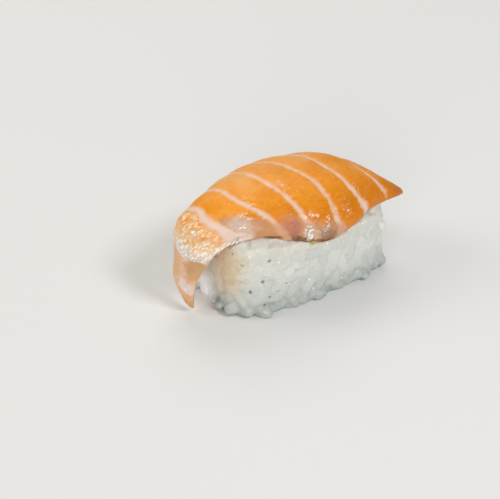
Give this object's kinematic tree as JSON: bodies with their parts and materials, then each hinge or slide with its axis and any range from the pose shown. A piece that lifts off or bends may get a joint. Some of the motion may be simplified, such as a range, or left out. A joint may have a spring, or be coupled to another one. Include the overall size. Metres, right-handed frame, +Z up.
{
  "type": "salmon nigiri",
  "caption": "Pressed heap of rice with a slice of raw salmon draped over it, one end hanging down to the table and the other ending in a thin point.",
  "frame": {"origin": "on the table under the middle of the whole piece", "axes": "+Z up, +X along the piece to the thin pointed end of the slice, -Y the side where the slice's darker skin edge shows"},
  "size_m": [0.0607, 0.0315, 0.0283],
  "materials": {
    "rice": "moist cooked short-grain rice, slightly translucent, soft gloss",
    "salmon": "raw salmon, orange with pale fat lines, wet and slightly translucent"
  },
  "bodies": {
    "root": {"rice": "rice", "salmon": "salmon"}
  },
  "joints": []
}
